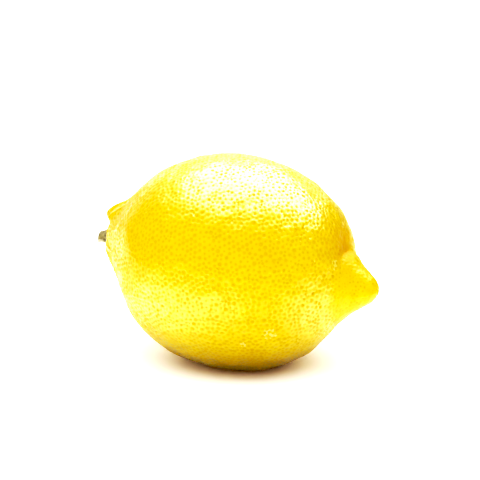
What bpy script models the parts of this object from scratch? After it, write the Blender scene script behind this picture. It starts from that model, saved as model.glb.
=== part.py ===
"""A ripe lemon lying on its side on its small flat spot.

It is two pieces: the fruit, which grew as one body, and the calyx, the dry star-shaped button with the cut
end of the stem, which sits in the hollow at the fruit's stem end.

Units are metres and +Z is up.  Each piece is shaped along the fruit's own axis, X, with the nipple towards
+X and the stem end towards -X.  The empty "lemon" then leans the axis nose-down and sets the whole on the
surface, with the origin under the middle of its box.  An angle around the axis is counted from the top,
positive towards -Y, which is the fruit's front.
"""
import bpy
import bmesh
from math import atan2, cos, exp, hypot, pi, radians, sin, tau
from mathutils import Matrix, Vector

MM = 0.001

# --- Driving dimensions -----------------------------------------------------------------------------------

NOSE_DOWN = radians(6.3)
FLAT_SPOT_DEPTH = 0.45 * MM

# Side of the turned fruit, from the floor of the stem hollow over the collar and the body to the nipple's
# tip: (distance along the axis, radius) in millimetres.
FRUIT_SIDE = (
    (-36.8, 0.0), (-36.9, 3.1), (-37.9, 4.6), (-38.5, 6.0), (-37.2, 7.9), (-34.6, 10.8), (-31.2, 15.3),
    (-26.2, 21.1), (-18.5, 26.5), (-9.4, 29.5), (-0.5, 30.2), (8.9, 29.1), (17.4, 25.9), (24.7, 20.4),
    (29.2, 14.8), (32.2, 10.3), (35.0, 7.4), (38.2, 4.9), (40.7, 2.7), (41.8, 0.0),
)
STEPS_PER_SPAN = 3
STEPS_AROUND = 56

# The neck bends up a little towards the stem end: where along the axis it starts, where it ends, how far.
NECK_BEND_START = -18 * MM
NECK_BEND_END = -33 * MM
NECK_BEND = 0.7 * MM

# The stem hollow sits a little below the middle of the neck, because the lobe beside it has grown over it.
STEM_HOLLOW_DROP = 0.8 * MM

# Collar around the stem: one large lobe that has grown up beside the stem hollow, a valley in the rim next
# to it, and shallow ridges that run down the neck.
LOBE_X = -37.0 * MM
LOBE_RADIUS = 5.4 * MM
LOBE_ANGLE = radians(-14)
LOBE_SIZE = 4.2 * MM
LOBE_RISE = 3.6 * MM
LOBE_BULGE = 0.5 * MM
COLLAR_RADIUS = 6.0 * MM
COLLAR_WIDTH = 3.0 * MM
VALLEY_ANGLE = radians(38)
VALLEY_SPREAD = radians(18)
VALLEY_DEPTH = 0.7 * MM
NECK_X = -35 * MM
NECK_LENGTH = 4 * MM
RIDGE_COUNT = 9
RIDGE_DEPTH = 0.22 * MM

# Furrow that undercuts the shoulder at the root of the nipple, on the upper side only.
FURROW_X = 31.0 * MM
FURROW_HALF_WIDTH = 1.7 * MM
FURROW_DEPTH = 2.2 * MM
FURROW_ANGLE = radians(-22)
FURROW_SPREAD = radians(46)

# The shoulder above the furrow: a brow that bulges over it, and a shallow dimple at the brow's front end.
BROW_X = 26.5 * MM
BROW_LENGTH = 4.5 * MM
BROW_HEIGHT = 0.6 * MM
BROW_ANGLE = radians(-35)
BROW_SPREAD = radians(40)
DIMPLE_X = 27.5 * MM
DIMPLE_LENGTH = 3.5 * MM
DIMPLE_DEPTH = 0.7 * MM
DIMPLE_ANGLE = radians(4)
DIMPLE_SPREAD = radians(18)

# Slow swellings all over the body: (waves around, waves along the whole fruit, height, phase).
FRUIT_LENGTH = 81 * MM
SWELLINGS = (
    (2, 0.6, 0.16 * MM, 0.9),
    (3, 1.1, 0.14 * MM, 2.1),
    (5, 1.7, 0.09 * MM, 4.0),
)

# Calyx: a domed button with pointed sepals, and the stub of the cut stem.  Its side is given like the
# fruit's, as (height above the hollow's floor, radius) in millimetres, from the underside to the cut.
CALYX_SIDE = (
    (0.0, 0.0), (0.0, 2.2), (0.6, 3.1), (1.7, 3.5), (2.5, 3.1), (3.1, 2.4), (3.6, 1.9), (4.2, 1.55),
    (5.0, 1.45), (5.6, 1.5), (5.8, 1.3), (5.8, 0.0),
)
CALYX_STEPS_PER_SPAN = 2
CALYX_STEPS_AROUND = 40
SEPAL_COUNT = 5
SEPAL_REACH = 0.14
STUB_FOOT = 3.2 * MM
STUB_LEAN = radians(14)
STUB_TOP = 5.6 * MM
CUT_SLANT = 0.4
CALYX_GAP = 0.6 * MM
CALYX_LEAN = radians(4)

# Meshes hold 32-bit numbers: points closer together than this are one point.
SAME_POINT = 0.001 * MM


# --- Tools ------------------------------------------------------------------------------------------------

def bell(distance, width):
    """1 at no distance, falling smoothly to nothing well past the width."""
    return exp(-(distance / width) ** 2)


def ease(start, end, place):
    """0 up to the start, 1 from the end on, and a smooth climb between them."""
    climbed = min(max((place - start) / (end - start), 0.0), 1.0)
    return climbed * climbed * (3 - 2 * climbed)


def turn_between(angle, other):
    """The turn from one angle to another, the short way round."""
    return (angle - other + pi) % tau - pi


def smooth_side(stations, steps):
    """Points of a smooth curve through the stations, which leaves and meets the axis squarely.

    Each span is a cubic, and its slope at a station is the mean of the chords on both sides, the nearer
    chord counting for more.  The curve goes on past each end as its own mirror image across the axis.
    """
    inside = [Vector(station) * MM for station in stations]
    mirrored = [Vector((inside[i].x, -inside[i].y)) for i in (1, -2)]
    points = [mirrored[0]] + inside + [mirrored[1]]
    chords = [(b - a).length for a, b in zip(points, points[1:])]

    def slope(i):
        before, after = chords[i - 1], chords[i]
        rise_before = (points[i] - points[i - 1]) / before
        rise_after = (points[i + 1] - points[i]) / after
        return (rise_before * after + rise_after * before) / (before + after)

    curve = []
    for i in range(1, len(points) - 2):
        for step in range(steps):
            t = step / steps
            start, end = points[i], points[i + 1]
            leave, arrive = slope(i) * chords[i], slope(i + 1) * chords[i]
            curve.append(
                (2 * t**3 - 3 * t**2 + 1) * start + (t**3 - 2 * t**2 + t) * leave
                + (3 * t**2 - 2 * t**3) * end + (t**3 - t**2) * arrive
            )
    return curve + [inside[-1]]


def turned(side, steps):
    """A bmesh turned from a side curve around the X axis, closed at both poles."""
    body = bmesh.new()
    row = [body.verts.new((point.x, 0, point.y)) for point in side]
    edges = [body.edges.new(pair) for pair in zip(row, row[1:])]
    bmesh.ops.spin(
        body, geom=row + edges, axis=(1, 0, 0), cent=(0, 0, 0), angle=tau, steps=steps, use_merge=True,
    )
    bmesh.ops.remove_doubles(body, verts=body.verts, dist=SAME_POINT)
    return body


def finished(name, body, material):
    """The object of a finished bmesh: faces out, shaded smooth, with its one material."""
    bmesh.ops.recalc_face_normals(body, faces=body.faces)
    mesh = bpy.data.meshes.new(name)
    body.to_mesh(mesh)
    body.free()
    mesh.shade_smooth()
    mesh.set_sharp_from_angle(angle=radians(50))
    mesh.materials.append(material)
    piece = bpy.data.objects.new(name, mesh)
    bpy.context.collection.objects.link(piece)
    return piece


def plain_material(name, colour, roughness):
    """A Principled BSDF material of one colour and roughness, not metallic."""
    material = bpy.data.materials.new(name)
    material.use_nodes = True
    shader = material.node_tree.nodes["Principled BSDF"]
    shader.inputs["Base Color"].default_value = (*colour, 1)
    shader.inputs["Roughness"].default_value = roughness
    shader.inputs["Metallic"].default_value = 0.0
    return material


# --- The fruit --------------------------------------------------------------------------------------------

def skin_point(x, radius, angle):
    """The point at a distance along the axis, away from the axis and around it."""
    return Vector((x, -radius * sin(angle), radius * cos(angle)))


def patch(x, angle, middle_x, length, middle_angle, spread):
    """1 in the middle of a patch of skin, fading out along the axis and around it."""
    return bell(x - middle_x, length) * bell(turn_between(angle, middle_angle), spread)


def rise_outward(x, angle):
    """How far the skin stands out from the turned side, away from the axis."""
    ridges = RIDGE_DEPTH * bell(x - NECK_X, NECK_LENGTH) * cos(RIDGE_COUNT * angle)
    brow = BROW_HEIGHT * patch(x, angle, BROW_X, BROW_LENGTH, BROW_ANGLE, BROW_SPREAD)
    dimple = DIMPLE_DEPTH * patch(x, angle, DIMPLE_X, DIMPLE_LENGTH, DIMPLE_ANGLE, DIMPLE_SPREAD)
    furrow = FURROW_DEPTH * patch(x, angle, FURROW_X, FURROW_HALF_WIDTH, FURROW_ANGLE, FURROW_SPREAD)
    swelling = sum(
        height * cos(around * angle + phase) * sin(tau * along * x / FRUIT_LENGTH + phase)
        for around, along, height, phase in SWELLINGS
    )
    return ridges + brow - dimple - furrow + swelling


def lobe_at(place, radius):
    """1 at the middle of the collar's lobe, fading out all round it, and 0 in the stem hollow."""
    middle = skin_point(LOBE_X, LOBE_RADIUS, LOBE_ANGLE)
    return bell((place - middle).length, LOBE_SIZE) * ease(COLLAR_RADIUS / 2, COLLAR_RADIUS, radius)


def valley_at(radius, angle):
    """1 where the valley crosses the collar's rim, fading out all round it."""
    return bell(radius - COLLAR_RADIUS, COLLAR_WIDTH) * bell(turn_between(angle, VALLEY_ANGLE), VALLEY_SPREAD)


def grow(vert):
    """Moves a point of the turned fruit to where the skin really is."""
    x = vert.co.x
    radius = hypot(vert.co.y, vert.co.z)
    angle = atan2(-vert.co.y, vert.co.z)
    lobe = lobe_at(vert.co, radius)
    lift = NECK_BEND * ease(-NECK_BEND_START, -NECK_BEND_END, -x)
    # The rise fades out at the poles, where every angle meets.
    outward = rise_outward(x, angle) * ease(0, COLLAR_RADIUS, radius) + LOBE_BULGE * lobe
    along = -LOBE_RISE * lobe
    if x < NECK_X + NECK_LENGTH:
        along += VALLEY_DEPTH * valley_at(radius, angle)
        lift -= STEM_HOLLOW_DROP * (1 - ease(COLLAR_RADIUS / 2, COLLAR_RADIUS * 1.4, radius))
    vert.co = skin_point(x + along, radius + outward, angle) + Vector((0, 0, lift))


def rest_on_flat_spot(body):
    """Cuts the skin off level where the leaning fruit meets the surface, and closes the cut."""
    down = Matrix.Rotation(-NOSE_DOWN, 3, "Y") @ Vector((0, 0, -1))
    lowest = max(vert.co.dot(down) for vert in body.verts)
    cut = bmesh.ops.bisect_plane(
        body, geom=body.verts[:] + body.edges[:] + body.faces[:], dist=SAME_POINT,
        plane_co=down * (lowest - FLAT_SPOT_DEPTH), plane_no=down, clear_outer=True,
    )
    rim = [element for element in cut["geom_cut"] if isinstance(element, bmesh.types.BMEdge)]
    bmesh.ops.contextual_create(body, geom=rim)


def make_fruit():
    """The whole fruit as one closed body: collar, body and nipple."""
    body = turned(smooth_side(FRUIT_SIDE, STEPS_PER_SPAN), STEPS_AROUND)
    for vert in body.verts:
        grow(vert)
    rest_on_flat_spot(body)
    return finished("fruit", body, plain_material("peel", (0.95, 0.66, 0.01), 0.38))


# --- The calyx --------------------------------------------------------------------------------------------

def shape_calyx(vert):
    """Draws the button out into its sepals, leans the stub over and slants its cut."""
    height = vert.co.x
    radius = hypot(vert.co.y, vert.co.z)
    angle = atan2(vert.co.y, vert.co.z)
    radius *= 1 + SEPAL_REACH * cos(SEPAL_COUNT * angle) * (1 - ease(STUB_FOOT / 2, STUB_FOOT, height))
    leaning = max(height - STUB_FOOT, 0.0) * sin(STUB_LEAN)
    height -= CUT_SLANT * radius * cos(angle) * ease(STUB_FOOT, STUB_TOP, height)
    vert.co = (-height, radius * sin(angle), radius * cos(angle) - leaning)


def make_calyx():
    """The dry button and the stub of the stem as one closed body, a small gap above the hollow's floor."""
    body = turned(smooth_side(CALYX_SIDE, CALYX_STEPS_PER_SPAN), CALYX_STEPS_AROUND)
    for vert in body.verts:
        shape_calyx(vert)
    calyx = finished("calyx", body, plain_material("dry_stem", (0.22, 0.17, 0.07), 0.75))
    floor_x = FRUIT_SIDE[0][0] * MM
    calyx.location = (floor_x - CALYX_GAP, 0, NECK_BEND - STEM_HOLLOW_DROP)
    calyx.rotation_euler = (0, -CALYX_LEAN, 0)
    return calyx


# --- The whole lemon --------------------------------------------------------------------------------------

def lay_down(pieces):
    """Leans the pieces nose-down and puts the origin under the middle of their box, on the surface."""
    lemon = bpy.data.objects.new("lemon", None)
    bpy.context.collection.objects.link(lemon)
    lemon.rotation_euler = (0, NOSE_DOWN, 0)
    for piece in pieces:
        piece.parent = lemon
    bpy.context.view_layer.update()
    points = [piece.matrix_world @ vert.co for piece in pieces for vert in piece.data.vertices]
    low = Vector(min(point[axis] for point in points) for axis in range(3))
    high = Vector(max(point[axis] for point in points) for axis in range(3))
    lemon.location = (-(low.x + high.x) / 2, -(low.y + high.y) / 2, -low.z)


def main():
    for old in list(bpy.data.objects):
        bpy.data.objects.remove(old, do_unlink=True)
    lay_down([make_fruit(), make_calyx()])


main()
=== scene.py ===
"""The looks of a ripe lemon that lies on its side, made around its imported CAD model.

Two pieces are made here: lemon_skin, the whole fruit with its oil pores, and stem_button, the dry calyx with
the cut stub of the stem.  Both are worked out along the fruit's own axis, X, with the nipple towards +X and
the stem end towards -X, and are then laid nose-down where the CAD fruit lies.  An angle around the axis is
counted from the top, positive towards -Y, which is the fruit's front.  Lengths are metres.
"""

import bpy
import numpy as np
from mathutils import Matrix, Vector, geometry


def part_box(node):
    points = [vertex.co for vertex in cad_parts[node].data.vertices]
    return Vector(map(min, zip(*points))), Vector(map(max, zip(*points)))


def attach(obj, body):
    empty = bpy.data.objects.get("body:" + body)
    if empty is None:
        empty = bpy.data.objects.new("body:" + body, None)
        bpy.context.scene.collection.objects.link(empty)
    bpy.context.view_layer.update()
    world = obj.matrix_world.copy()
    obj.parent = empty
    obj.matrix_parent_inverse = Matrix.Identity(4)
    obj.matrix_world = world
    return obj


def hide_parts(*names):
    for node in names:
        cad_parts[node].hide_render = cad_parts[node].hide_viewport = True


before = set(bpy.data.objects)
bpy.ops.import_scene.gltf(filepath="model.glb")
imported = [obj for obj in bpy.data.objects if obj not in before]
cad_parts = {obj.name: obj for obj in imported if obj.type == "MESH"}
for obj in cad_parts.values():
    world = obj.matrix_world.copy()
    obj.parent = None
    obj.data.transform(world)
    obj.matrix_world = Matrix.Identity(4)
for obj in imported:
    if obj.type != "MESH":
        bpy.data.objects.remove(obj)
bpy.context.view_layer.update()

MM = 0.001
TURN = 2 * np.pi

# --- Shape of the fruit -----------------------------------------------------------------------------------

NOSE_DOWN = np.radians(6.3)

# Side of the turned fruit, from the floor of the stem hollow over the collar and the body to the nipple's
# tip: (distance along the axis, radius) in millimetres.
FRUIT_SIDE = (
    (-36.8, 0.0), (-36.9, 3.1), (-37.9, 4.6), (-38.5, 6.0), (-37.2, 7.9), (-34.6, 10.8), (-31.2, 15.3),
    (-26.2, 21.1), (-18.5, 26.5), (-9.4, 29.5), (-0.5, 30.2), (8.9, 29.1), (17.4, 25.9), (24.7, 20.4),
    (29.2, 14.8), (32.2, 10.3), (35.0, 7.4), (38.2, 4.9), (40.7, 2.7), (41.8, 0.0),
)
SIDE_STEPS = 80

# The neck bends up a little towards the stem end: where along the axis it starts, where it ends, how far.
NECK_BEND_START = -18 * MM
NECK_BEND_END = -33 * MM
NECK_BEND = 0.7 * MM

# Collar around the stem: a lobe that has grown up beside the hollow, a valley next to it, and neck ridges.
LOBE_X = -37.0 * MM
LOBE_RADIUS = 5.5 * MM
LOBE_ANGLE = np.radians(-14)
LOBE_SIZE = 4.7 * MM
LOBE_RISE = 4.0 * MM
LOBE_BULGE = 1.0 * MM
LOBE_FOOT = 3.1 * MM
LOBE_DROOP = 1.2 * MM
COLLAR_RADIUS = 6.0 * MM
COLLAR_WIDTH = 3.0 * MM
STEM_HOLLOW_DROP = 0.8 * MM
HOLLOW_REACH = (COLLAR_RADIUS / 2, COLLAR_RADIUS * 1.4)
VALLEY_ANGLE = np.radians(38)
VALLEY_SPREAD = np.radians(18)
VALLEY_DEPTH = 0.7 * MM
STEM_END = -31 * MM
NECK_X = -34 * MM
NECK_LENGTH = 6 * MM
RIDGE_COUNT = 17
RIDGE_DEPTH = 0.38 * MM
RIDGE_SWAY = 0.3

# Patches of skin that stand out (+) or lie deep (-) on the shoulder over the nipple: the middle's place
# along the axis, the patch's length, the middle's angle, the spread around, and the height.
SHOULDER_PATCHES = {
    "brow": (26.8 * MM, 4.6 * MM, np.radians(-36), np.radians(42), 1.1 * MM),
    "lip": (29.5 * MM, 0.9 * MM, np.radians(14), np.radians(15), 0.35 * MM),
    "pit": (30.6 * MM, 1.2 * MM, np.radians(4), np.radians(17), -1.5 * MM),
    "furrow": (31.4 * MM, 1.4 * MM, np.radians(-15), np.radians(50), -1.2 * MM),
    "dent": (34.2 * MM, 2.0 * MM, np.radians(45), np.radians(17), -0.35 * MM),
}

# Slow swellings all over the body: (waves around, waves along the whole fruit, height, phase).
FRUIT_LENGTH = 81 * MM
SWELLINGS = (
    (2, 0.6, 0.16 * MM, 0.9),
    (3, 1.1, 0.14 * MM, 2.1),
    (5, 1.7, 0.09 * MM, 4.0),
)

# --- Relief of the skin -----------------------------------------------------------------------------------

SKIN_SEED = 11

# Uneven growth: (wavelength, height) of waves that run every way through the fruit.
UNEVENNESS = ((13 * MM, 0.08 * MM), (6.0 * MM, 0.05 * MM), (3.2 * MM, 0.022 * MM))
NIPPLE_GRAIN = ((1.4 * MM, 0.022 * MM),)
WAVES_OF_A_KIND = 28
STEM_SMOOTH = 8 * MM          # of the side at the stem end, over which the uneven growth sets in

PORE_COUNT = 7200
PORE_RADIUS = (0.42 * MM, 0.60 * MM)
PORE_DEPTH = (0.09 * MM, 0.20 * MM)
PALEST_PORE = 0.4             # the colour of the palest pore, where the deepest has 1
PORE_CORNERS = 7
PORE_ROOM = 0.48              # of the way to the nearest pore, at most
PORE_SCATTER = 0.6 * MM
EVENING_ROUNDS = 7            # in which the pores move apart evenly
PORES_FINER_ON_NIPPLE = 1.7   # times as many to the area
PORES_SHALLOWER_ON_NIPPLE = 0.45
PORES_FAINTER_ON_NIPPLE = 0.55
NIPPLE_START = 30 * MM
NIPPLE_FULL = 33.5 * MM
# The pores grow to their full depth from the first to the second of these lengths along the side, counted
# from the middle of the stem hollow and from the nipple's tip.
HOLLOW_EDGE = (3 * MM, 5 * MM)
TIP_EDGE = (1.2 * MM, 0.6 * MM)
STEM_BARE = 0.6 * MM          # of the side at the middle of the hollow, with no pores
ENDS_FIXED = 2 * MM           # of the side at both ends, where no pore moves
PUFF = 0.055 * MM             # of the skin between the pores
RIM_MARK = 0.25               # how much of a pore's colour is left at its rim

# Patches of pale dry scurf, by the middle's place along the axis and around it, and the patch's radius.
SCURF = (
    (19.4 * MM, np.radians(116), 3.2 * MM), (12.7 * MM, np.radians(122), 1.6 * MM),
    (31.0 * MM, np.radians(46), 2.6 * MM), (23.4 * MM, np.radians(37), 0.8 * MM),
    (-8.0 * MM, np.radians(-60), 3.0 * MM), (10.0 * MM, np.radians(-130), 3.5 * MM),
)
SCURF_GRAIN = 900             # flakes to the metre

# The flat spot under the fruit, and the small scar at the nipple's tip where the flower's style fell off.
FLAT_SPOT_EASE = 0.12 * MM
SCAR_LEAN = np.radians(-35)
SCAR_DEPTH = 0.15 * MM
SCAR_EASE = 0.15 * MM
SCAR_RADIUS = 1.3 * MM

PIT_SHADE_AND_DULL = 2.1                # how far the painted shade and the dull skin over the pit reach, as times the pit's own reach

# Ring of points around the far pole, closed by a fan.
TIP_RING_RADIUS = 0.3 * MM
TIP_RING_CORNERS = 16

# --- The calyx --------------------------------------------------------------------------------------------

# Side of the button, from its underside over the sepals and up the stub to the cut:
# (height above the hollow's floor, radius) in millimetres.
BUTTON_SIDE = (
    (0.0, 0.0), (0.0, 2.1), (0.6, 2.8), (1.7, 3.1), (2.5, 2.8), (3.1, 2.4), (3.6, 2.1), (4.2, 1.8),
    (5.0, 1.7), (5.6, 1.75), (5.8, 1.5), (5.8, 0.0),
)
BUTTON_STEPS = 14
BUTTON_AROUND = 200
BUTTON_GAP = 0.6 * MM         # between its underside and the floor of the hollow
BUTTON_LEAN = np.radians(4)
SEPAL_COUNT = 5
SEPAL_REACH = 0.11            # as a share of the radius, like the ribs' height
RIBS_TO_A_SEPAL = 4
RIB_HEIGHT = 0.012
STUB_FOOT = 3.2 * MM
STUB_TOP = 5.6 * MM
STUB_LEAN = np.radians(17)
CUT_HEIGHT = 5.75 * MM
CUT_EASE = 0.12 * MM
CUT_SLANT = 0.4


# --- Tools ------------------------------------------------------------------------------------------------

def bell(distance, width):
    """1 at no distance, falling smoothly to nothing past the width: e to minus the square of their ratio."""
    return np.exp(-(distance / width) ** 2)


def ease(start, end, place):
    """0 up to the start, 1 from the end on, and between them the climb 3t squared minus 2t cubed."""
    climbed = np.clip((place - start) / (end - start), 0, 1)
    return climbed * climbed * (3 - 2 * climbed)


def turn_between(angle, other):
    """The turn from one angle to another, the short way round."""
    return (angle - other + np.pi) % TURN - np.pi


def soft_floor(height, width):
    """The height where it is above the width, 0 where it is below minus the width, a parabola between."""
    eased = (height + width) ** 2 / (4 * width)
    return np.where(height > width, height, np.where(height < -width, 0, eased))


def side_curve(stations, steps):
    """Rows of (x, radius) along a smooth curve through the stations, which meets the axis squarely.

    Each span is a cubic.  Its slope at a station is the mean of the chords on both sides, the nearer chord
    counting for more, and the curve goes on past each end as its own mirror image across the axis.
    """
    inside = np.array(stations) * MM
    points = np.vstack([inside[1] * (1, -1), inside, inside[-2] * (1, -1)])
    spans = np.diff(points, axis=0)
    chords = np.linalg.norm(spans, axis=1)[:, None]
    rises = spans / chords
    slopes = (rises[:-1] * chords[1:] + rises[1:] * chords[:-1]) / (chords[:-1] + chords[1:])
    t = (np.arange(steps) / steps)[None, :, None]
    start, end, chord = inside[:-1, None], inside[1:, None], chords[1:-1, None]
    leave, arrive = slopes[:-1, None] * chord, slopes[1:, None] * chord
    curve = (
        (2 * t**3 - 3 * t**2 + 1) * start + (t**3 - 2 * t**2 + t) * leave
        + (3 * t**2 - 2 * t**3) * end + (t**3 - t**2) * arrive
    )
    return np.vstack([curve.reshape(-1, 2), inside[-1:]])


def along_curve(curve):
    """The length run along a curve at each of its points."""
    return np.concatenate([[0], np.cumsum(np.linalg.norm(np.diff(curve, axis=0), axis=1))])


def skin_point(x, radius, angle):
    """Points at a distance along the axis, away from the axis and around it."""
    return np.stack([x, -radius * np.sin(angle), radius * np.cos(angle)], axis=-1)


def corners_out(points, triangles):
    """The outward direction at each point: the sum of its triangles' cross products, made one long."""
    first, second, third = (points[triangles[:, i]] for i in range(3))
    across = np.cross(second - first, third - first)
    total = np.zeros_like(points)
    for i in range(3):
        np.add.at(total, triangles[:, i], across)
    return total / np.linalg.norm(total, axis=1, keepdims=True)


def make_piece(name, points, faces, material, marks):
    """A smooth-shaded mesh object at the origin, with one number per point under each mark's name."""
    mesh = bpy.data.meshes.new(name)
    mesh.from_pydata(points.tolist(), [], faces)
    for label, values in marks.items():
        made = mesh.attributes.new(label, "FLOAT", "POINT")
        made.data.foreach_set("value", np.ascontiguousarray(values, dtype=np.float32))
    mesh.shade_smooth()
    mesh.materials.append(material)
    piece = bpy.data.objects.new(name, mesh)
    bpy.context.collection.objects.link(piece)
    return piece


# --- Shape of the fruit -----------------------------------------------------------------------------------

SIDE = side_curve(FRUIT_SIDE, SIDE_STEPS)
SIDE_RUN = along_curve(SIDE)
STEM_STATIONS = 4 * SIDE_STEPS   # points of the side as far as the collar; past it, x only grows


def rise_outward(x, angle):
    """How far the skin stands out from the turned side: ridges, shoulder patches and slow swellings.

    The ridges are a sine around the neck, folded over at zero so that they are sharp.  A patch is a bell
    along the axis times a bell around it.  A swelling is a cosine around the fruit times a sine along it.
    """
    swaying = angle + RIDGE_SWAY * np.sin(2 * angle + 1)
    ridges = 1 - 2 * np.abs(np.sin(RIDGE_COUNT / 2 * swaying))
    rise = RIDGE_DEPTH * bell(x - NECK_X, NECK_LENGTH) * ridges
    for middle_x, length, middle_angle, spread, height in SHOULDER_PATCHES.values():
        rise += height * bell(x - middle_x, length) * bell(turn_between(angle, middle_angle), spread)
    for around, along, height, phase in SWELLINGS:
        rise += height * np.cos(around * angle + phase) * np.sin(TURN * along * x / FRUIT_LENGTH + phase)
    return rise


def fruit_surface(run, angle):
    """The fruit's skin before its fine relief, in its own frame, from the run along its side and the angle.

    The turned side's point is pushed away from the axis by the rise, and at the stem end by a bell-shaped
    lobe on the collar and a valley beside it.  The neck is lifted, and the stem hollow lowered, by eases.
    """
    x = np.interp(run, SIDE_RUN, SIDE[:, 0])
    radius = np.interp(run, SIDE_RUN, SIDE[:, 1])
    lobe_middle = skin_point(LOBE_X, LOBE_RADIUS, LOBE_ANGLE)
    from_lobe = np.linalg.norm(skin_point(x, radius, angle) - lobe_middle, axis=-1)
    lobe = bell(from_lobe, LOBE_SIZE) * ease(LOBE_FOOT, COLLAR_RADIUS, radius)
    valley = bell(radius - COLLAR_RADIUS, COLLAR_WIDTH)
    valley *= bell(turn_between(angle, VALLEY_ANGLE), VALLEY_SPREAD)
    at_stem = x < STEM_END
    outward = rise_outward(x, angle) * ease(0, COLLAR_RADIUS, radius) + LOBE_BULGE * lobe
    along = -LOBE_RISE * lobe + VALLEY_DEPTH * valley * at_stem
    hollow = (1 - ease(*HOLLOW_REACH, radius)) * at_stem
    lift = NECK_BEND * ease(-NECK_BEND_START, -NECK_BEND_END, -x) - STEM_HOLLOW_DROP * hollow
    lift = lift - LOBE_DROOP * lobe
    points = skin_point(x + along, radius + outward, angle)
    points[..., 2] += lift
    return points


def leaned(points):
    """Points turned nose-down about the Y axis."""
    x, y, z = np.moveaxis(points, -1, 0)
    cosine, sine = np.cos(NOSE_DOWN), np.sin(NOSE_DOWN)
    return np.stack([x * cosine + z * sine, y, z * cosine - x * sine], axis=-1)


def fruit_place():
    """The shift that brings the leaned fruit to the CAD fruit: nipple tip, top and middle are matched."""
    run, angle = np.meshgrid(SIDE_RUN[::8], np.linspace(0, TURN, 240, endpoint=False))
    points = leaned(fruit_surface(run, angle)).reshape(-1, 3)
    low, high = points.min(axis=0), points.max(axis=0)
    cad_low, cad_high = (np.array(corner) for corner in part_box("fruit"))
    shift = cad_high - high
    shift[1] = (cad_low[1] + cad_high[1] - low[1] - high[1]) / 2
    return shift


FRUIT_PLACE = fruit_place()


# --- The flat map of the skin -----------------------------------------------------------------------------
# The skin is unrolled onto a plane around the stem end, so that small shapes keep their form: a point's
# distance from the middle of the map grows by the same share as it does along the side for its radius.

def map_scale():
    """Distance from the map's middle at each point of the side: e to the sum of step over radius."""
    middle_radius = (SIDE[1:, 1] + SIDE[:-1, 1]) / 2
    growth = np.cumsum(np.diff(SIDE_RUN)[1:] / middle_radius[1:])
    return np.concatenate([[0, SIDE_RUN[1]], SIDE_RUN[1] * np.exp(growth)])


MAP_SCALE = map_scale()


def to_map(run, angle):
    """Complex numbers that are the points' places on the map."""
    return np.interp(run, SIDE_RUN, MAP_SCALE) * np.exp(1j * angle)


def from_map(places):
    """The run along the side and the angle of places on the map."""
    return np.interp(np.abs(places), MAP_SCALE, SIDE_RUN), np.angle(places)


def triangulated(places):
    """Well-shaped triangles between places on the map, as rows of three numbers, facing out of the fruit."""
    flat = [Vector(pair) for pair in np.stack([places.real, places.imag], axis=-1).tolist()]
    triangles = geometry.delaunay_2d_cdt(flat, [], [], 0, 0.0, False)[2]
    return np.array(triangles)[:, ::-1]


# --- Pores ------------------------------------------------------------------------------------------------

def pore_middles(chance):
    """Places of the pores on the map.

    They follow a sunflower's rule, each a golden angle on from the last and an equal share of the skin
    further along, with more to the area on the nipple, and each is then moved at random.  After that every
    pore moves halfway to the mean of its neighbours, a few times over, which spaces them out evenly.
    """
    x, radius = SIDE[:, 0], SIDE[:, 1]
    crowding = 1 + (PORES_FINER_ON_NIPPLE - 1) * ease(NIPPLE_START, NIPPLE_FULL, x)
    shares = np.concatenate([[0], np.cumsum(np.diff(SIDE_RUN) * (radius * crowding)[1:])])
    number = np.arange(PORE_COUNT)
    golden_angle = np.pi * (3 - np.sqrt(5))
    run = np.interp((number + 0.5) / PORE_COUNT * shares[-1], shares, SIDE_RUN)
    scatter = PORE_SCATTER / np.sqrt(np.interp(run, SIDE_RUN, crowding))
    run = run + scatter * chance.uniform(-1, 1, PORE_COUNT)
    angle = number * golden_angle
    angle += scatter * chance.uniform(-1, 1, PORE_COUNT) / np.maximum(np.interp(run, SIDE_RUN, radius), MM)
    keep = (run > STEM_BARE) & (run < SIDE_RUN[-1] - 3 * TIP_RING_RADIUS)
    middles = to_map(run[keep], angle[keep])
    inside = (run[keep] > ENDS_FIXED) & (run[keep] < SIDE_RUN[-1] - ENDS_FIXED)
    for _ in range(EVENING_ROUNDS):
        triangles = triangulated(middles)
        neighbours = np.zeros(len(middles), complex)
        number = np.zeros(len(middles))
        for one, other in ((0, 1), (1, 2), (2, 0)):
            np.add.at(neighbours, triangles[:, one], middles[triangles[:, other]])
            np.add.at(number, triangles[:, one], 1)
        middles = np.where(inside, (middles + neighbours / number) / 2, middles)
    return middles


def room_around(middles, triangles):
    """Distance on the skin from each pore to the nearest one next to it."""
    points = fruit_surface(*from_map(middles))
    room = np.full(len(middles), np.inf)
    for one, other in ((0, 1), (1, 2), (2, 0)):
        ends = triangles[:, one], triangles[:, other]
        apart = np.linalg.norm(points[ends[0]] - points[ends[1]], axis=1)
        for end in ends:
            np.minimum.at(room, end, apart)
    return room


def waves(points, kinds, chance):
    """Height of uneven growth at points: for each kind of wave, cosines that run in random directions."""
    height = np.zeros(len(points))
    for wavelength, swing in kinds:
        direction = chance.normal(size=(WAVES_OF_A_KIND, 3))
        direction /= np.linalg.norm(direction, axis=1, keepdims=True)
        pitch = TURN / (wavelength * chance.uniform(0.75, 1.35, WAVES_OF_A_KIND))
        start = chance.uniform(0, TURN, WAVES_OF_A_KIND)
        total = np.cos(points @ (direction * pitch[:, None]).T + start).sum(axis=1)
        height += swing * np.sqrt(2 / WAVES_OF_A_KIND) * total
    return height


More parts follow.
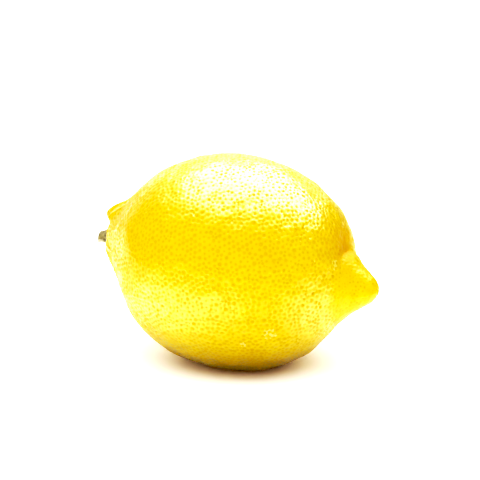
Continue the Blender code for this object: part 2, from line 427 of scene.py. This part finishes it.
def make_lemon_skin():
    """The fruit as one closed skin of triangles, with every pore a pit of its own.

    Each pore is a point at its bottom and a ring of points around its rim; the skin between three pores has
    one point, puffed up.  All of it then rises and falls with the uneven growth, along the outward
    direction, and is pressed flat where the fruit rests and where the style fell off.
    """
    chance = np.random.default_rng(SKIN_SEED)
    middles = pore_middles(chance)
    between = triangulated(middles)
    count = len(middles)
    run, angle = from_map(middles)
    body_radius = np.interp(run, SIDE_RUN, SIDE[:, 1])
    size = np.minimum(chance.uniform(*PORE_RADIUS, count), PORE_ROOM * room_around(middles, between))
    depth = np.interp(size, PORE_RADIUS, PORE_DEPTH) * chance.uniform(0.7, 1.2, count)
    strength = PALEST_PORE + (1 - PALEST_PORE) * chance.uniform(0, 1, count) ** 1.5

    x = np.interp(run, SIDE_RUN, SIDE[:, 0])
    open_skin = ease(*HOLLOW_EDGE, run) * (1 - ease(*TIP_EDGE, SIDE_RUN[-1] - run))
    depth *= open_skin * (1 - PORES_SHALLOWER_ON_NIPPLE * ease(NIPPLE_START, NIPPLE_FULL, x))
    strength *= 1 - PORES_FAINTER_ON_NIPPLE * ease(NIPPLE_START, NIPPLE_FULL, x)

    corner_angle = TURN * np.arange(PORE_CORNERS) / PORE_CORNERS + chance.uniform(0, TURN, count)[:, None]
    rims = middles[:, None] * (1 + (size / body_radius)[:, None] * np.exp(1j * corner_angle))
    webs = middles[between].mean(axis=1)
    tip_run = SIDE_RUN[-1] - TIP_RING_RADIUS
    tip_angle = TURN * np.arange(TIP_RING_CORNERS) / TIP_RING_CORNERS
    tip_ring = to_map(np.full(TIP_RING_CORNERS, tip_run), tip_angle)
    places = np.concatenate([middles, rims.ravel(), webs, [0], tip_ring])
    triangles = triangulated(places)

    # The far pole has no place on the map: it is the last point, and a fan joins it to the ring around it.
    ring = np.arange(len(places) - TIP_RING_CORNERS, len(places))
    tip = np.full(TIP_RING_CORNERS, len(places))
    triangles = np.vstack([triangles, np.stack([ring, tip, np.roll(ring, -1)], axis=-1)])
    run, angle = from_map(places)
    run, angle = np.append(run, SIDE_RUN[-1]), np.append(angle, 0)
    points = leaned(fruit_surface(run, angle)) + FRUIT_PLACE
    x = np.interp(run, SIDE_RUN, SIDE[:, 0])

    height = np.zeros(len(points))
    height[:count] = -depth
    web_span = slice(count * (1 + PORE_CORNERS), count * (1 + PORE_CORNERS) + len(webs))
    height[web_span] = PUFF * open_skin[between].mean(axis=1)
    nipple = ease(NIPPLE_START, NIPPLE_FULL, x)
    height += waves(points, UNEVENNESS, chance) * ease(0, STEM_SMOOTH, run)
    height += waves(points, NIPPLE_GRAIN, chance) * nipple
    points = points + corners_out(points, triangles) * height[:, None]

    points[:, 2] = soft_floor(points[:, 2], FLAT_SPOT_EASE)
    scar_way = np.array([np.cos(SCAR_LEAN), 0, np.sin(SCAR_LEAN)])
    reach = points @ scar_way
    short = reach.max() - SCAR_DEPTH - reach
    points += (soft_floor(short, SCAR_EASE) - short)[:, None] * -scar_way * (short < SCAR_EASE)[:, None]

    pore = np.zeros(len(points))
    pore[:count] = strength * open_skin
    pore[count:web_span.start] = RIM_MARK * np.repeat(strength * open_skin, PORE_CORNERS)
    scar_middle = points[np.argmax(reach)]
    style_scar = bell(np.linalg.norm(points - scar_middle, axis=1), SCAR_RADIUS)
    # The pit mark paints shade into the pit at the nipple's root, as the shade in its crease, and takes the
    # wax off it.
    pit_x, pit_length, pit_angle, pit_spread, _ = SHOULDER_PATCHES["pit"]
    pit = bell(x - pit_x, PIT_SHADE_AND_DULL * pit_length)
    pit *= bell(turn_between(angle, pit_angle), PIT_SHADE_AND_DULL * pit_spread)
    scurf = np.zeros(len(points))
    for middle_x, middle_angle, patch_radius in SCURF:
        middle_run = np.interp(middle_x, SIDE[STEM_STATIONS:, 0], SIDE_RUN[STEM_STATIONS:])
        middle = leaned(fruit_surface(middle_run, middle_angle)) + FRUIT_PLACE
        scurf = np.maximum(scurf, bell(np.linalg.norm(points - middle, axis=1), patch_radius))
    scurf *= 1 - ease(0.1, 0.4, pore)
    marks = {"pore": pore, "style_scar": style_scar, "nipple": nipple, "pit": pit, "scurf": scurf}
    skin = make_piece("lemon_skin", points, triangles.tolist(), peel_material(), marks)
    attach(skin, "root")
    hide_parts("fruit")
    return skin


# --- The stem button --------------------------------------------------------------------------------------

def closed_grid(points):
    """Points and faces of a closed surface from a grid of rows; its first and last row are one point each."""
    rows, around = points.shape[:2]
    inner = points[1:-1].reshape(-1, 3)
    flat = np.vstack([points[0, :1], inner, points[-1, :1]])
    index = 1 + np.arange((rows - 2) * around).reshape(rows - 2, around)
    beside = np.roll(index, -1, axis=1)
    squares = np.stack([index[:-1], beside[:-1], beside[1:], index[1:]], axis=-1).reshape(-1, 4)
    first = np.stack([np.zeros(around, int), beside[0], index[0]], axis=-1)
    last = np.stack([np.full(around, len(flat) - 1), index[-1], beside[-1]], axis=-1)
    return flat, squares.tolist() + first.tolist() + last.tolist()


def make_stem_button():
    """The dry calyx and the stub of the stem, from its side turned around the axis.

    The button is drawn out into its sepals by a cosine around it, so turned that the collar's lobe hangs
    between two of them.  The stub leans over and its lower half is cut at a slant, and fine ribs run down
    the sepals and the stub.  Its lower side is marked pale like the cut, as painted light from the floor
    below.
    """
    side = side_curve(BUTTON_SIDE, BUTTON_STEPS)
    angle = np.linspace(0, TURN, BUTTON_AROUND, endpoint=False)
    height, angle = np.meshgrid(side[:, 0], angle, indexing="ij")
    radius = np.broadcast_to(side[:, 1:], angle.shape)
    on_button = 1 - ease(STUB_FOOT / 2, STUB_FOOT, height)
    sepal = -np.cos(SEPAL_COUNT * (angle + LOBE_ANGLE))
    ribs = RIB_HEIGHT * np.cos(RIBS_TO_A_SEPAL * SEPAL_COUNT * angle) * ease(0, MM, radius)
    reach = radius * (1 + SEPAL_REACH * sepal * on_button + ribs)
    # The cut mark is the real cut face at the top, and also painted light: the stub's lower side, made pale
    # as if lit by the floor below.
    cut_and_lit_underside = ease(CUT_HEIGHT - CUT_EASE, CUT_HEIGHT, height)
    lit_underside = ease(0.1, 0.5, -np.cos(angle)) * ease(STUB_FOOT, STUB_TOP, height)
    cut_and_lit_underside = np.maximum(cut_and_lit_underside, lit_underside)
    leaning = np.maximum(height - STUB_FOOT, 0) * np.sin(STUB_LEAN)
    slanted = height + CUT_SLANT * reach * ease(0, 1, -np.cos(angle)) * ease(STUB_FOOT, STUB_TOP, height)
    points = np.stack([-slanted, reach * np.sin(angle), reach * np.cos(angle) - leaning], axis=-1)
    cosine, sine = np.cos(-BUTTON_LEAN), np.sin(-BUTTON_LEAN)
    turned = points @ np.array([[cosine, 0, -sine], [0, 1, 0], [sine, 0, cosine]])
    floor_x = FRUIT_SIDE[0][0] * MM
    turned += (floor_x - BUTTON_GAP, 0, NECK_BEND - STEM_HOLLOW_DROP)
    placed = leaned(turned) + FRUIT_PLACE
    flat, faces = closed_grid(placed)
    marks = {"cut_and_lit_underside": closed_grid(np.repeat(cut_and_lit_underside[..., None], 3, axis=-1))[0][:, 0]}
    button = make_piece("stem_button", flat, faces, calyx_material(), marks)
    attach(button, "root")
    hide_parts("calyx")
    return button


# --- Materials --------------------------------------------------------------------------------------------

def add_node(tree, kind, inputs=None, **settings):
    """A new node with its settings; an input is given a value, or the output that feeds it."""
    made = tree.nodes.new(kind)
    for name, value in settings.items():
        setattr(made, name, value)
    for name, value in (inputs or {}).items():
        if isinstance(value, bpy.types.NodeSocket):
            tree.links.new(value, made.inputs[name])
        else:
            made.inputs[name].default_value = value
    return made


def calculated(tree, operation, first, second, **settings):
    """The outcome of a sum, a product or the like of two values."""
    return add_node(tree, "ShaderNodeMath", {0: first, 1: second}, operation=operation, **settings).outputs[0]


def mixed(tree, share, first, second):
    """The colour between a first and a second colour by a share."""
    inputs = {0: share, 6: first, 7: second}
    return add_node(tree, "ShaderNodeMix", inputs, data_type="RGBA").outputs[2]


def spread(tree, value, low, high, to_low=0.0, to_high=1.0):
    """A value's range drawn out to another range, and held at its ends."""
    inputs = {0: value, 1: low, 2: high, 3: to_low, 4: to_high}
    return add_node(tree, "ShaderNodeMapRange", inputs, interpolation_type="SMOOTHSTEP").outputs[0]


def noise(tree, where, scale, detail=2.0):
    """Cloudy noise through the piece; scale counts its clouds to the metre."""
    inputs = {"Vector": where, "Scale": scale, "Detail": detail}
    return add_node(tree, "ShaderNodeTexNoise", inputs).outputs[0]


def mark(tree, name):
    """The piece's own number of that name."""
    return add_node(tree, "ShaderNodeAttribute", attribute_name=name).outputs["Fac"]


def bare_material(name):
    """A material with only a Principled BSDF: its tree, its shader and where a point is on the piece."""
    material = bpy.data.materials.new(name)
    material.use_nodes = True
    tree = material.node_tree
    shader = tree.nodes["Principled BSDF"]
    where = add_node(tree, "ShaderNodeTexCoord").outputs["Object"]
    return material, tree, shader, where


# Colours of the peel; where there are two, it drifts between them.
BETWEEN_PORES = ((0.80, 0.595, 0.003, 1), (0.80, 0.57, 0.002, 1))
IN_PORES = ((0.71, 0.485, 0.001, 1), (0.70, 0.47, 0.001, 1))
# Painted shade: the pit at the nipple's root is coloured darker, as the shade in its crease.
PIT_SHADE_COLOUR = (0.66, 0.41, 0.003, 1)
SCURF_COLOUR = (0.82, 0.66, 0.14, 1)
SCAR_COLOUR = (0.80, 0.62, 0.34, 1)
# How much wax is on the body and on the nipple.
WAX = (0.95, 0.3)

# Colours of the dry calyx and of the cut through the stub; the cut's pale colour is also painted on the
# stub's lower side as the light from the floor below.
BARK = ((0.22, 0.19, 0.09, 1), (0.42, 0.37, 0.20, 1))
PALE_CUT_AND_LIT_UNDERSIDE = ((0.74, 0.66, 0.48, 1), (0.90, 0.84, 0.68, 1))


def peel_material():
    """Glossy waxed lemon peel: deeper yellow and dull in the pores, bright and waxy between them."""
    material, tree, shader, where = bare_material("lemon_peel")
    pore = spread(tree, mark(tree, "pore"), 0.07, 0.36)
    clouds = spread(tree, noise(tree, where, 60), 0.35, 0.65)
    dotted = mixed(tree, pore, mixed(tree, clouds, *BETWEEN_PORES), mixed(tree, clouds, *IN_PORES))
    # Painted shade: the pit mark darkens the pit at the nipple's root.
    pit_shaded = mixed(tree, mark(tree, "pit"), dotted, PIT_SHADE_COLOUR)
    flakes = noise(tree, where, SCURF_GRAIN, 3)
    crust = calculated(tree, "MULTIPLY", mark(tree, "scurf"), flakes)
    crusted = mixed(tree, spread(tree, crust, 0.34, 0.46), pit_shaded, SCURF_COLOUR)
    scarred = mixed(tree, spread(tree, mark(tree, "style_scar"), 0.3, 0.7), crusted, SCAR_COLOUR)
    tree.links.new(scarred, shader.inputs["Base Color"])
    tree.links.new(spread(tree, pore, 0, 1, 0.42, 0.6), shader.inputs["Roughness"])
    waxed = spread(tree, mark(tree, "nipple"), 0, 1, *WAX)
    out_of_pit = spread(tree, mark(tree, "pit"), 0, 0.7, 1.0, 0.1)
    out_of_pore = spread(tree, mark(tree, "pore"), 0.1, 0.46, 1.0, 0.0)
    coat = calculated(tree, "MULTIPLY", calculated(tree, "MULTIPLY", waxed, out_of_pit), out_of_pore)
    tree.links.new(coat, shader.inputs["Coat Weight"])
    shader.inputs["Coat Roughness"].default_value = 0.24
    shader.inputs["Specular IOR Level"].default_value = 0.1
    shader.inputs["Subsurface Weight"].default_value = 0.2
    shader.inputs["Subsurface Radius"].default_value = (1.0, 0.55, 0.12)
    shader.inputs["Subsurface Scale"].default_value = 1.6 * MM
    grain = noise(tree, where, 2600, 3)
    bump = add_node(tree, "ShaderNodeBump", {"Strength": 0.5, "Distance": 0.03 * MM, "Height": grain})
    tree.links.new(bump.outputs[0], shader.inputs["Normal"])
    return material


def calyx_material():
    """Dry olive-brown calyx with a paler tan cut; the stub's lower side is painted the same pale tan, as
    light from the floor.
    """
    material, tree, shader, where = bare_material("dry_calyx")
    patches = spread(tree, noise(tree, where, 900, 4), 0.3, 0.7)
    bark = mixed(tree, patches, *BARK)
    pale_cut_and_lit = mixed(tree, patches, *PALE_CUT_AND_LIT_UNDERSIDE)
    tree.links.new(mixed(tree, mark(tree, "cut_and_lit_underside"), bark, pale_cut_and_lit), shader.inputs["Base Color"])
    tree.links.new(spread(tree, patches, 0, 1, 0.7, 0.85), shader.inputs["Roughness"])
    grain = noise(tree, where, 3000, 4)
    bump = add_node(tree, "ShaderNodeBump", {"Strength": 0.8, "Distance": 0.12 * MM, "Height": grain})
    tree.links.new(bump.outputs[0], shader.inputs["Normal"])
    return material


def floor_material(white, glowing):
    """Matt paint of a studio floor, with a glow of its own; a faint warm one keeps the shadow brown."""
    material = bpy.data.materials.new("studio_floor")
    material.use_nodes = True
    tree = material.node_tree
    matt = add_node(tree, "ShaderNodeBsdfDiffuse", {"Color": (white, white, white, 1)}).outputs[0]
    glow = add_node(tree, "ShaderNodeEmission", {"Color": glowing}).outputs[0]
    both = add_node(tree, "ShaderNodeAddShader", {0: matt, 1: glow}).outputs[0]
    tree.links.new(both, tree.nodes["Material Output"].inputs["Surface"])
    return material


# --- The studio -------------------------------------------------------------------------------------------

CAMERA_AZIMUTH = np.radians(22)
CAMERA_ELEVATION = np.radians(14)
CAMERA_DISTANCE = 0.599
CAMERA_LENS = 160
CAMERA_TARGET = (1.54 * MM, 0, 36.43 * MM)
FLOOR_HALF = 6.0
FLOOR_LEVEL = -0.05 * MM
BOUNCE_LEVEL = -0.3 * MM
# How white each floor is, and the colour that it glows by itself.
FLOOR_PAINT = (0.92, (0.15, 0.07, 0.01, 1))
BOUNCE_PAINT = (0.17, (0, 0, 0, 1))


def camera_axes():
    """The directions from the object back to the camera, and to its right."""
    azimuth, elevation = CAMERA_AZIMUTH, CAMERA_ELEVATION
    level = np.cos(elevation)
    back = Vector((np.sin(azimuth) * level, -np.cos(azimuth) * level, np.sin(elevation)))
    right = Vector((np.cos(azimuth), np.sin(azimuth), 0))
    return back, right


def make_camera():
    """The camera, at its distance from its target."""
    back, right = camera_axes()
    camera = bpy.data.objects.new("camera", bpy.data.cameras.new("camera"))
    bpy.context.collection.objects.link(camera)
    camera.data.lens = CAMERA_LENS
    camera.data.sensor_width = 36
    camera.data.clip_start = 0.01
    camera.location = Vector(CAMERA_TARGET) + back * CAMERA_DISTANCE
    camera.rotation_euler = back.to_track_quat("Z", "Y").to_euler()
    bpy.context.scene.camera = camera


def make_floor(name, shown):
    """A wide level floor just under the fruit: the one that is shown, or the one that lights from below."""
    mesh = bpy.data.meshes.new(name)
    sides = ((-1, -1), (1, -1), (1, 1), (-1, 1))
    level = FLOOR_LEVEL if shown else BOUNCE_LEVEL
    paint = FLOOR_PAINT if shown else BOUNCE_PAINT
    mesh.from_pydata([(x * FLOOR_HALF, y * FLOOR_HALF, level) for x, y in sides], [], [(0, 1, 2, 3)])
    mesh.materials.append(floor_material(*paint))
    floor = bpy.data.objects.new(name, mesh)
    bpy.context.collection.objects.link(floor)
    floor.visible_camera = shown
    floor.visible_glossy = shown
    floor.visible_diffuse = not shown
    floor.visible_shadow = False
    return floor


def soften_edges(lamp):
    """Makes a panel fade out at its edges: a parabola each way, multiplied, squared, and cut off at 1."""
    lamp.use_nodes = True
    tree = lamp.node_tree
    place = add_node(tree, "ShaderNodeNewGeometry").outputs["Parametric"]
    across = add_node(tree, "ShaderNodeSeparateXYZ", {0: place})
    parabolas = []
    for i in (0, 1):
        falling = {0: across.outputs[i], 1: -4.0, 2: 4.0}
        fall = add_node(tree, "ShaderNodeMath", falling, operation="MULTIPLY_ADD").outputs[0]
        parabolas.append(calculated(tree, "MULTIPLY", across.outputs[i], fall))
    hump = calculated(tree, "MULTIPLY", *parabolas)
    squared = calculated(tree, "POWER", hump, 2.0)
    bright = calculated(tree, "MULTIPLY", squared, EDGE_STEEPNESS, use_clamp=True)
    tree.links.new(bright, tree.nodes["Emission"].inputs["Strength"])


def make_panel(name, aim, size, strength, glossy):
    """A soft light panel that faces the fruit: seen either only in reflections, or only as light on surfaces.

    aim is its distance, and its direction from the fruit as azimuth and elevation.
    """
    distance, azimuth, elevation = aim
    level = np.cos(elevation)
    toward = Vector((np.sin(azimuth) * level, -np.cos(azimuth) * level, np.sin(elevation)))
    lamp = bpy.data.lights.new(name, "AREA")
    lamp.shape = "RECTANGLE"
    lamp.size, lamp.size_y = size
    lamp.energy = strength * np.pi * size[0] * size[1]
    soften_edges(lamp)
    panel = bpy.data.objects.new(name, lamp)
    bpy.context.collection.objects.link(panel)
    panel.location = Vector(CAMERA_TARGET) + toward * distance
    panel.rotation_euler = toward.to_track_quat("Z", "Y").to_euler()
    panel.visible_camera = False
    panel.visible_glossy = glossy
    panel.visible_diffuse = not glossy
    panel.visible_transmission = False
    return panel


def light_floor(floor, elevation, softness, strength):
    """A soft light, in the camera's upright plane, that reaches only this floor."""
    name = floor.name + "_light"
    lamp = bpy.data.lights.new(name, "SUN")
    lamp.energy = strength * np.pi
    lamp.angle = softness
    light = bpy.data.objects.new(name, lamp)
    bpy.context.collection.objects.link(light)
    level = np.cos(elevation)
    toward = Vector((np.sin(CAMERA_AZIMUTH) * level, -np.cos(CAMERA_AZIMUTH) * level, np.sin(elevation)))
    light.rotation_euler = toward.to_track_quat("Z", "Y").to_euler()
    lit = bpy.data.collections.new("lit_by_" + name)
    lit.objects.link(floor)
    light.light_linking.receiver_collection = lit


def make_world():
    """White all round for the camera, and a dome of light on surfaces that grows brighter towards the zenith.

    Reflections see only the panels, the cards and the floor.
    """
    world = bpy.data.worlds.new("studio")
    world.use_nodes = True
    tree = world.node_tree
    path = add_node(tree, "ShaderNodeLightPath")
    way = add_node(tree, "ShaderNodeTexCoord").outputs["Generated"]
    up = add_node(tree, "ShaderNodeSeparateXYZ", {0: way}).outputs["Z"]
    dome = calculated(tree, "MULTIPLY", calculated(tree, "MAXIMUM", up, 0.0), DOME)
    seen = mixed(tree, path.outputs["Is Camera Ray"], dome, BACKDROP)
    tree.links.new(seen, tree.nodes["Background"].inputs["Color"])
    world.cycles_visibility.glossy = False
    bpy.context.scene.world = world


# Tone curve: (light that arrives, light that is shown).  It deepens the darks and leaves the lights alone.
TONES = ((0.0, 0.0), (0.1, 0.006), (0.3, 0.12), (0.5, 0.38), (0.7, 0.68), (0.85, 0.85), (1.0, 1.0))

DOME = 2.0
BACKDROP = (1.2, 1.2, 1.2, 1)
EDGE_STEEPNESS = 2.5
# The light on each floor: its elevation (past 90 degrees, from behind), its softness and its strength.
FLOOR_LIGHT = (np.radians(50), np.radians(75), 1.2)
BOUNCE_LIGHT = (np.radians(96), np.radians(14), 7.8)

# The panel overhead: its height, how far it reaches, as the elevation of its far and near edges and the turn
# from the zenith to its left and right edges, and its strength.
OVERHEAD_HEIGHT = 0.5
OVERHEAD_FAR, OVERHEAD_NEAR = np.radians(36), np.radians(60)
OVERHEAD_LEFT, OVERHEAD_RIGHT = np.radians(47), np.radians(60)
OVERHEAD_STRENGTH = 15.0

# The other panels: (name, (distance, azimuth, elevation), size, strength, seen in reflections).
PANELS = (
    ("back_reflection", (0.9, CAMERA_AZIMUTH + np.pi, np.radians(20)), (1.6, 0.6), 2.0, True),
    ("front_fill", (1.0, CAMERA_AZIMUTH - np.radians(22), np.radians(16)), (0.9, 0.7), 2.18, False),
    ("rim_reflection", (0.9, np.radians(242), np.radians(14)), (0.9, 0.6), 1.0, True),
)

# Cards that lie on the floor, face up: (name, azimuth, strength).
CARDS = (
    ("left_card", CAMERA_AZIMUTH - np.radians(50), 5.8),
    ("right_card", CAMERA_AZIMUTH + np.radians(75), 4.6),
)
CARD_DISTANCE = 0.08
CARD_SIZE = (0.15, 0.11)
CARD_LEVEL = 0.5 * MM


def set_tones():
    """Plain colours, with the tone curve over them."""
    view = bpy.context.scene.view_settings
    view.view_transform = "Standard"
    view.use_curve_mapping = True
    curve = view.curve_mapping.curves[3]
    curve.points[0].location = TONES[0]
    curve.points[1].location = TONES[-1]
    for place in TONES[1:-1]:
        curve.points.new(*place)
    view.curve_mapping.update()


def make_overhead():
    """The level panel over the fruit, seen only in reflections: the broad gleam on its top."""
    far = OVERHEAD_HEIGHT / np.tan(OVERHEAD_FAR)
    near = OVERHEAD_HEIGHT / np.tan(OVERHEAD_NEAR)
    left = OVERHEAD_HEIGHT * np.tan(OVERHEAD_LEFT)
    wide = OVERHEAD_HEIGHT * np.tan(OVERHEAD_RIGHT)
    size = (float(left + wide), float(far + near))
    aim = (OVERHEAD_HEIGHT, 0, np.pi / 2)
    panel = make_panel("overhead_reflection", aim, size, OVERHEAD_STRENGTH, True)
    back, right = camera_axes()
    level_back = Vector((back.x, back.y, 0)).normalized()
    panel.location += right * float(wide - left) / 2 + level_back * float(near - far) / 2
    panel.rotation_euler = (0, 0, CAMERA_AZIMUTH)


def make_studio():
    """Floors, camera, world, panels and cards."""
    make_camera()
    light_floor(make_floor("floor", True), *FLOOR_LIGHT)
    light_floor(make_floor("floor_bounce", False), *BOUNCE_LIGHT)
    make_world()
    make_overhead()
    for panel in PANELS:
        make_panel(*panel)
    for name, azimuth, strength in CARDS:
        card = make_panel(name, (CARD_DISTANCE, azimuth, 0), CARD_SIZE, strength, True)
        card.location.z = CARD_LEVEL
        card.rotation_euler = (np.pi, 0, azimuth)
    set_tones()


make_studio()
make_lemon_skin()
make_stem_button()
